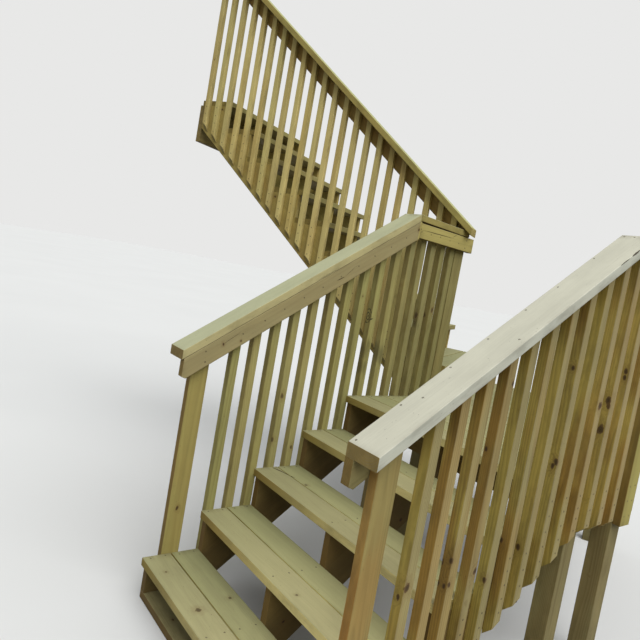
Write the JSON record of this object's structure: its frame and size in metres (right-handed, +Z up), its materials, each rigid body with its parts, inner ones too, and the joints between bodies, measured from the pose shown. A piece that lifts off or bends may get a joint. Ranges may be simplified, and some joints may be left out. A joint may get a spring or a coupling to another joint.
{
  "type": "wooden deck stairs with a turned landing",
  "caption": "Wooden deck stairs: a lower flight climbs to a landing that turns left to a longer upper flight, with baluster guards and flat rail caps.",
  "frame": {"origin": "middle of the back face of the header across the top of the upper flight, where it is bolted to the house deck", "axes": "+Y is the way the upper flight climbs and the outward normal of the header's back face, +X is to the right of someone climbing it, +Z is up"},
  "size_m": [3.4284, 3.5077, 3.9688],
  "materials": {
    "walking_boards": "weathered treated pine, unpainted",
    "framing": "weathered treated pine, unpainted",
    "balusters": "weathered treated pine, unpainted",
    "rail_caps": "weathered treated pine, unpainted",
    "rail_boards": "weathered treated pine, unpainted",
    "posts": "weathered treated pine, unpainted"
  },
  "bodies": {
    "root": {"base_plate": "framing", "landing_deck": "walking_boards", "landing_joists": "framing", "landing_posts": "posts", "landing_rim_back": "framing", "landing_rim_front": "framing", "landing_rim_left": "framing", "landing_rim_right": "framing", "landing_rim_side": "framing", "landing_rim_turn": "framing", "landing_rim_wall": "framing", "left_guard_balusters": "balusters", "left_guard_cap": "rail_caps", "left_guard_corner_post": "posts", "left_guard_newel": "posts", "left_guard_rail": "rail_boards", "lower_stringer_left": "framing", "lower_stringer_middle": "framing", "lower_stringer_right": "framing", "lower_tread_1": "walking_boards", "lower_tread_2": "walking_boards", "lower_tread_3": "walking_boards", "lower_tread_4": "walking_boards", "lower_tread_5": "walking_boards", "right_guard_balusters": "balusters", "right_guard_cap": "rail_caps", "right_guard_corner_post": "posts", "right_guard_newel": "posts", "right_guard_rail": "rail_boards", "side_guard_balusters": "balusters", "side_guard_cap": "rail_caps", "side_guard_post": "posts", "side_guard_rail": "rail_boards", "top_header": "framing", "upper_guard_balusters": "balusters", "upper_guard_cap": "rail_caps", "upper_guard_rail": "rail_boards", "upper_stringer_left": "framing", "upper_stringer_middle": "framing", "upper_stringer_right": "framing", "upper_tread_1": "walking_boards", "upper_tread_2": "walking_boards", "upper_tread_3": "walking_boards", "upper_tread_4": "walking_boards", "upper_tread_5": "walking_boards", "upper_tread_6": "walking_boards", "upper_tread_7": "walking_boards", "upper_tread_8": "walking_boards", "upper_tread_9": "walking_boards"}
  },
  "joints": []
}
